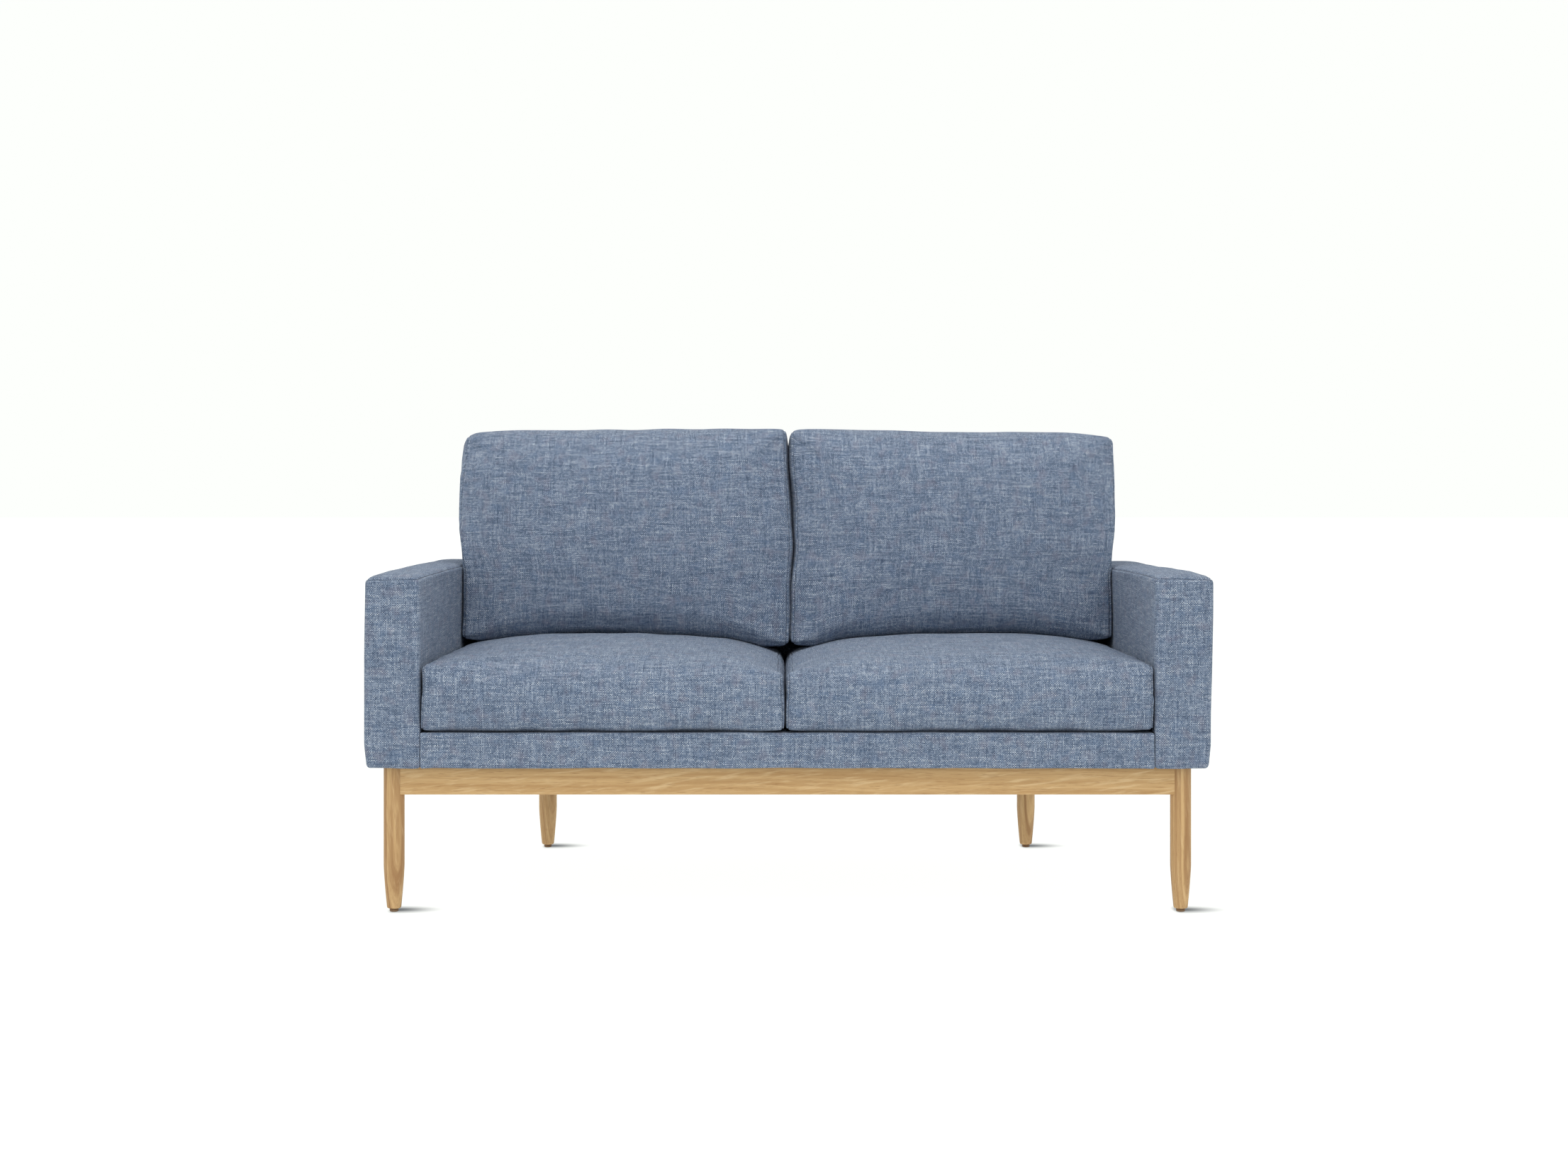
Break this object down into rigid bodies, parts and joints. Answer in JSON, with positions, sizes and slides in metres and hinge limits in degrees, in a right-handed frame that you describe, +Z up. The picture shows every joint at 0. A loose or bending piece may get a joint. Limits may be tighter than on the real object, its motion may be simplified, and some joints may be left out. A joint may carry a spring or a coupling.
{
  "type": "high back settee",
  "caption": "Upholstered high back settee with loose seat and back cushions, slab arms, an oak rail base and turned tapered legs.",
  "frame": {"origin": "on the floor, in the middle of the overall width and depth", "axes": "+X to the right seen from the front, along the settee's width; +Y from the front to the back; +Z up"},
  "size_m": [1.5, 0.8615, 0.8694],
  "materials": {
    "oak": "light oak, satin oil",
    "frame_wood": "planed hardwood, unfinished",
    "tweed": "blue-grey tweed weave",
    "padding": "foam and felt",
    "cambric": "black dust cloth",
    "webbing": "jute webbing",
    "steel": "zinc-plated steel",
    "spring_steel": "oiled spring steel",
    "glide": "brown nylon"
  },
  "bodies": {
    "settee": {"base_front_rail": "oak", "base_rear_rail": "oak", "base_left_rail": "oak", "base_right_rail": "oak", "front_left_leg": "oak", "front_right_leg": "oak", "rear_left_leg": "oak", "rear_right_leg": "oak", "front_left_glide": "glide", "front_right_glide": "glide", "rear_left_glide": "glide", "rear_right_glide": "glide", "corner_blocks": "frame_wood", "base_bolts": "steel", "base_washers": "steel", "seat_front_rail": "frame_wood", "seat_rear_rail": "frame_wood", "seat_left_rail": "frame_wood", "seat_right_rail": "frame_wood", "seat_centre_brace": "frame_wood", "spring_clips": "spring_steel", "zigzag_springs": "spring_steel", "spring_tie_wires": "spring_steel", "deck_pad": "padding", "deck_cover": "tweed", "dust_cover": "cambric", "front_border_padding": "padding", "front_border_cover": "tweed", "left_arm_front_post": "frame_wood", "left_arm_rear_post": "frame_wood", "left_arm_board": "frame_wood", "left_arm_padding": "padding", "left_arm_cover": "tweed", "left_arm_top_panel": "tweed", "right_arm_front_post": "frame_wood", "right_arm_rear_post": "frame_wood", "right_arm_board": "frame_wood", "right_arm_padding": "padding", "right_arm_cover": "tweed", "right_arm_top_panel": "tweed", "left_back_post": "frame_wood", "right_back_post": "frame_wood", "centre_back_post": "frame_wood", "back_top_rail": "frame_wood", "back_lower_rail": "frame_wood", "back_webbing": "webbing", "back_padding": "padding", "inside_back_cover": "tweed", "outside_back_panel": "tweed"},
    "left_seat_cushion": {"left_seat_cushion": "tweed"},
    "right_seat_cushion": {"right_seat_cushion": "tweed"},
    "left_back_cushion": {"left_back_cushion": "tweed"},
    "right_back_cushion": {"right_back_cushion": "tweed"}
  },
  "joints": [
    {"name": "left_seat_cushion_slide", "type": "slide", "parent": "settee", "child": "left_seat_cushion", "axis": [0, -1, 0], "range_m": [0, 0.6]},
    {"name": "left_back_cushion_lift", "type": "slide", "parent": "settee", "child": "left_back_cushion", "axis": [0, 0, 1], "range_m": [0, 0.45]},
    {"name": "right_seat_cushion_slide", "type": "slide", "parent": "settee", "child": "right_seat_cushion", "axis": [0, -1, 0], "range_m": [0, 0.6]},
    {"name": "right_back_cushion_lift", "type": "slide", "parent": "settee", "child": "right_back_cushion", "axis": [0, 0, 1], "range_m": [0, 0.45]}
  ]
}
